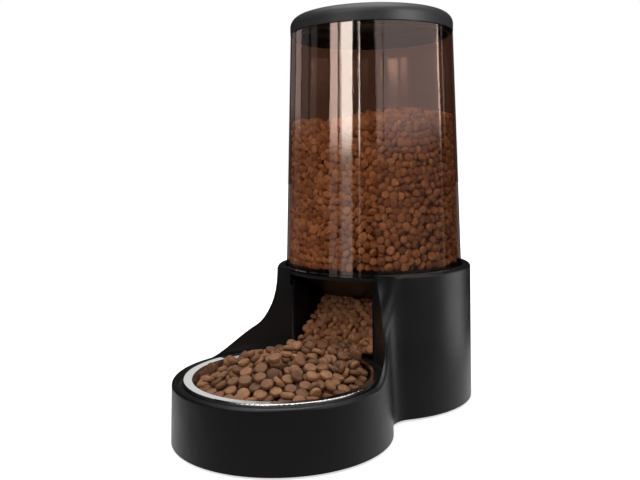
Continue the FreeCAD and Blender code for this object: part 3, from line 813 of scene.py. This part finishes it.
class FEEDER_OT_chute_food(FeederOperator, Operator):
    """Lays dry food down the chute"""

    bl_idname = "feeder.chute_food"
    bl_label = "Food on the chute"

    def execute(self, context):
        food = context.scene.feeder_food
        rng = np.random.default_rng(23)
        size = food.chute_size
        half = 0.0452
        low = Vector((0, 0.004, 0.0680))
        high = Vector((0, 0.0515, 0.1060))
        along = (high - low).normalized()
        normal = Vector((0, -along.z, along.y))
        run = (high - low).length + 0.012
        reach = 0.0895
        places = []
        for layer in range(3):
            spots = even_points(food.chute_count, 2 * half - size * 0.7, run, size * 0.86, rng)
            for u, v in spots:
                point = low + along * (v - 0.012)
                point.x = u - half + size * 0.35
                point -= normal * (layer * size * 0.5 + size * 0.28 + rng.uniform(-0.0016, 0.0016))
                if math.hypot(point.x, point.y - BOWL_AXIS.y) < reach + size * 0.45:
                    point.y = BOWL_AXIS.y + math.sqrt((reach + size * 0.5) ** 2 - point.x**2)
                if point.z > 0.0605:
                    places.append(lying(point, normal, rng, 0.6 if rng.uniform() < 0.7 else 1.3, 0.14))
        pieces = pile("chute_food", food_piece(size, size * 0.52, 10), places, rng)
        pieces.data.materials.append(baked_food("baked_food_chute", tuple(food.dark), tuple(food.pale)))
        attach(pieces, "base")
        wedge = bmesh.new()
        bmesh.ops.create_cube(wedge, size=1.0)
        deep = size * 1.5
        for v in wedge.verts:
            side, far, up = v.co.x > 0, v.co.y > 0, v.co.z > 0
            y = 0.058 if far else 0.0165
            z = low.z + (y - low.y) * along.z / along.y - deep if up else 0.0585 + (y - 0.0137) * 0.46
            v.co = ((half - 0.001) * (1 if side else -1), y, z)
        bmesh.ops.bevel(wedge, geom=list(wedge.edges), offset=0.001, offset_type="OFFSET",
                        affect="EDGES", segments=2, profile=0.5, material=-1)
        core = object_from(wedge, "chute_food_core")
        # Painted shade: the wedge under the chute's pieces is painted very dark brown to stand for the shade
        # between them.
        core.data.materials.append(food_shadow("food_shadow_chute", tuple(food.dark)))
        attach(core, "base")
        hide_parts("food_on_chute")
        return {"FINISHED"}


class FEEDER_OT_tank_food(FeederOperator, Operator):
    """Fills the tank with dry food"""

    bl_idname = "feeder.tank_food"
    bl_label = "Food in the tank"

    def execute(self, context):
        food = context.scene.feeder_food
        rng = np.random.default_rng(37)
        size = food.tank_size
        low_z, edge_z = FOOD_LOW.z, 0.284
        foot_r, top_r = 0.0877, 0.0822
        centre = Vector((TANK_AXIS.x, TANK_AXIS.y, 0))
        peak = Vector((0.030, 0.004))

        def radius(z):
            return foot_r + (top_r - foot_r) * (z - low_z) / (edge_z - low_z)

        def height(x, y):
            away = math.hypot(x - peak.x, y - peak.y) / 0.066
            return edge_z - size * 0.42 + 0.0125 * (1 - min(1.0, away) ** 1.6)

        def leaning():
            """Some pieces lie flat to the wall, some stand on edge, some lie any way."""
            kind = rng.uniform()
            return (0.35, 0.34) if kind < 0.45 else (0.8, 0.42) if kind < 0.75 else (1.6, 0.50)

        across = 2 * math.pi * foot_r
        tall = edge_z - low_z - size * 0.75
        for layer in range(2):
            places = []
            spots = even_points(food.tank_count, across, tall, size * 0.97, rng, wrap=True, rounds=40)
            for u, v in spots:
                z = low_z + size * 0.30 + v
                angle = u / foot_r
                out = Vector((math.cos(angle), math.sin(angle), 0))
                tilt, thick = leaning()
                r = radius(z) - size * thick - layer * size * 0.66 - rng.uniform(0, 0.0018)
                places.append(lying(centre + out * r + Vector((0, 0, z)), out, rng, tilt, 0.17))
            wall = pile(f"tank_food_layer_{layer + 1}", food_piece(size, size * 0.56, 10), places, rng)
            wall.data.materials.append(
                baked_food(f"baked_food_tank_{layer + 1}", tuple(food.dark), tuple(food.pale)))
            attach(wall, "tank")

        def keep(points, reach=top_r - size * 0.5):
            offset = points - top_r
            far = np.hypot(offset[:, 0], offset[:, 1])
            scale = np.where(far > reach, reach / np.maximum(far, 1e-9), 1.0)
            return offset * scale[:, None] + top_r

        places = []
        for layer in range(2):
            for u, v in even_points(420, 2 * top_r, 2 * top_r, size * 0.9, rng, inside=keep, rounds=40):
                x, y = u - top_r, v - top_r
                z = height(x, y) - layer * size * 0.55 + rng.uniform(-0.0016, 0.0020)
                places.append(lying(centre + Vector((x, y, z)), Vector((0, 0, 1)), rng, 0.6, 0.17))
        top = pile("tank_food_top", food_piece(size, size * 0.56, 10), places, rng)
        top.data.materials.append(baked_food("baked_food_top", tuple(food.dark), tuple(food.pale)))
        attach(top, "tank")
        inset = size * 1.15
        profile = [(0, low_z), (foot_r - inset, low_z), (top_r - inset, edge_z - size * 1.2),
                   (0, edge_z - size * 0.4)]
        core = core_form("tank_food_core", profile, TANK_AXIS)
        # Painted shade: the body inside the tank's food is painted very dark brown to stand for the shade
        # between the pieces.
        core.data.materials.append(food_shadow("food_shadow_tank", tuple(food.dark)))
        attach(core, "tank")
        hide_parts("food_in_tank")
        return {"FINISHED"}


class FEEDER_OT_studio(FeederOperator, Operator):
    """Sets up the white floor, the soft lights and the camera"""

    bl_idname = "feeder.studio"
    bl_label = "Studio"

    def execute(self, context):
        studio = context.scene.feeder_studio
        eye = Vector(studio.eye)
        away = eye - Vector((TANK_AXIS.x, TANK_AXIS.y, 0))
        towards = math.atan2(away.y, away.x)
        self.floor()
        tank = [NODES["tank"]]
        tank_food = [o for o in context.scene.objects if o.name.startswith("tank_food")]
        others = [o for o in context.scene.objects if o.type == "MESH" and o not in tank]
        soft_box("top_box", (0, 0, 0.35), towards, 0, 88, 0.95, 0.9, studio.top, others)
        soft_box("front_box", (0, 0, 0.1), towards, -35, 38, 1.3, 0.8, studio.fill, others)
        soft_box("side_box", (0, 0, 0.1), towards, 60, 24, 1.2, 0.9, studio.side, others)
        soft_box("lid_box", (0, 0, 0.38), towards, 52, 14, 1.1, 0.7, 3.0, [NODES["lid_cap"]])
        soft_box("waist_box", (0.09, 0, 0.08), towards, 112, 2, 0.38, 0.22, 1.3, [NODES["base_shell"]])
        soft_box("steel_box", (0, 0, 0.05), towards, 178, 27, 1.1, 1.3, 0.8, [NODES["steel_bowl"]])
        soft_box("tank_box", (0, 0, 0.2), towards, -25, 20, 1.35, 1.0, 4.4, tank_food)
        self.tent(towards, studio.strips, tank)
        self.world(studio, towards)
        self.camera(studio, eye)
        context.scene.view_settings.view_transform = "Standard"
        return {"FINISHED"}

    def floor(self):
        bm = bmesh.new()
        bmesh.ops.create_circle(bm, cap_ends=True, radius=9.0, segments=96)
        floor = object_from(bm, "floor")
        floor.data.materials.append(pale_floor("pale_floor"))
        floor.visible_glossy = False
        floor.visible_diffuse = False

    def tent(self, towards, strength, receivers):
        """A round tent of bright strips that only the tank mirrors."""
        bm = bmesh.new()
        bmesh.ops.create_circle(bm, cap_ends=False, radius=1.5, segments=96)
        bmesh.ops.translate(bm, verts=bm.verts, vec=(TANK_AXIS.x, TANK_AXIS.y, -0.3))
        walls = bmesh.ops.extrude_edge_only(bm, edges=bm.edges)["geom"]
        bmesh.ops.translate(bm, verts=[v for v in walls if isinstance(v, bmesh.types.BMVert)],
                            vec=(0, 0, 2.2))
        tent = object_from(bm, "strip_tent")
        white, rose, mauve = (18.0, 16.2, 14.8), (10.0, 7.4, 6.5), (2.05, 1.62, 1.58)
        faint = (0.45, 0.41, 0.41)
        strips = ((-148, -132, faint), (-128, -112, mauve), (-108, -95, faint), (-90, -80, faint),
                  (-57, -45, rose), (-43, -39.5, rose), (-39.5, -26.5, white),
                  (-17.4, -15.8, white), (5, 13.5, mauve), (15, 98, mauve), (99, 101.5, rose),
                  (109, 110.5, mauve))
        tent.data.materials.append(strip_tent("tent_light", TANK_AXIS, towards, strips, strength))
        tent.visible_camera = False
        tent.visible_diffuse = False
        tent.visible_shadow = False
        lit_only(tent, receivers)

    def world(self, studio, towards):
        """White to the eye, and to everything else a room that is brighter behind the feeder."""
        world = bpy.data.worlds.new("white_room")
        bpy.context.scene.world = world
        world.use_nodes = True
        tree = world.node_tree
        tree.nodes.clear()
        link = tree.links.new
        out = add(tree, "ShaderNodeOutputWorld")
        white = add(tree, "ShaderNodeBackground", sockets={"Color": (1, 1, 1, 1), "Strength": 1.0})
        even = add(tree, "ShaderNodeBackground", sockets={"Color": (1, 1, 1, 1)})
        smoky = add(tree, "ShaderNodeBackground", sockets={"Color": (0.122, 0.067, 0.048, 1)})
        coords = add(tree, "ShaderNodeTexCoord")
        behind_it = add(tree, "ShaderNodeVectorMath", operation="DOT_PRODUCT")
        behind_it.inputs[1].default_value = (-math.cos(towards), -math.sin(towards), 0)
        link(coords.outputs["Generated"], behind_it.inputs[0])
        link(spread_value(tree, behind_it.outputs["Value"], studio.room, studio.back, -0.35, 0.75),
             even.inputs["Strength"])
        path = add(tree, "ShaderNodeLightPath")
        through = add(tree, "ShaderNodeMath", operation="GREATER_THAN")
        through.inputs[1].default_value = 0.5
        behind = add(tree, "ShaderNodeMixShader")
        seen = add(tree, "ShaderNodeMixShader")
        link(path.outputs["Transparent Depth"], through.inputs[0])
        link(through.outputs[0], behind.inputs[0])
        link(white.outputs[0], behind.inputs[1])
        link(smoky.outputs[0], behind.inputs[2])
        link(path.outputs["Is Camera Ray"], seen.inputs[0])
        link(even.outputs[0], seen.inputs[1])
        link(behind.outputs[0], seen.inputs[2])
        link(seen.outputs[0], out.inputs["Surface"])

    def camera(self, studio, eye):
        data = bpy.data.cameras.new("camera")
        data.lens = studio.lens
        data.sensor_width = 36.0
        data.clip_start, data.clip_end = 0.01, 50.0
        camera = bpy.data.objects.new("camera", data)
        bpy.context.scene.collection.objects.link(camera)
        down, roll, yaw = studio.turn
        right = Vector((math.cos(yaw), math.sin(yaw), 0))
        ahead = Vector((-math.sin(yaw) * math.cos(down), math.cos(yaw) * math.cos(down), -math.sin(down)))
        up = right.cross(ahead)
        x_axis = right * math.cos(roll) - up * math.sin(roll)
        y_axis = up * math.cos(roll) + right * math.sin(roll)
        turn = Matrix((x_axis, y_axis, -ahead)).transposed()
        camera.matrix_world = Matrix.Translation(eye) @ turn.to_4x4()
        bpy.context.scene.camera = camera


class FEEDER_PT_panel(Panel):
    """Lists the feeder's steps and settings"""

    bl_label = "Feeder"
    bl_idname = "FEEDER_PT_panel"
    bl_space_type = "VIEW_3D"
    bl_region_type = "UI"
    bl_category = "Feeder"

    def draw(self, context):
        for step in STEPS:
            self.layout.operator(step.bl_idname)
        for group in (context.scene.feeder_finishes, context.scene.feeder_food, context.scene.feeder_studio):
            box = self.layout.box()
            for name in group.__annotations__:
                box.prop(group, name)


STEPS = (FEEDER_OT_base, FEEDER_OT_lid, FEEDER_OT_tank, FEEDER_OT_bowl, FEEDER_OT_hardware,
         FEEDER_OT_bowl_food, FEEDER_OT_chute_food, FEEDER_OT_tank_food, FEEDER_OT_studio)
CLASSES = (FeederFinishes, FeederFood, FeederStudio, *STEPS, FEEDER_PT_panel)


def register():
    for item in CLASSES:
        bpy.utils.register_class(item)
    bpy.types.Scene.feeder_finishes = PointerProperty(type=FeederFinishes)
    bpy.types.Scene.feeder_food = PointerProperty(type=FeederFood)
    bpy.types.Scene.feeder_studio = PointerProperty(type=FeederStudio)


def unregister():
    for name in ("feeder_finishes", "feeder_food", "feeder_studio"):
        delattr(bpy.types.Scene, name)
    for item in reversed(CLASSES):
        bpy.utils.unregister_class(item)


def main():
    """Builds everything in order."""
    register()
    for step in STEPS:
        group, name = step.bl_idname.split(".")
        getattr(getattr(bpy.ops, group), name)()


if __name__ == "__main__":
    main()
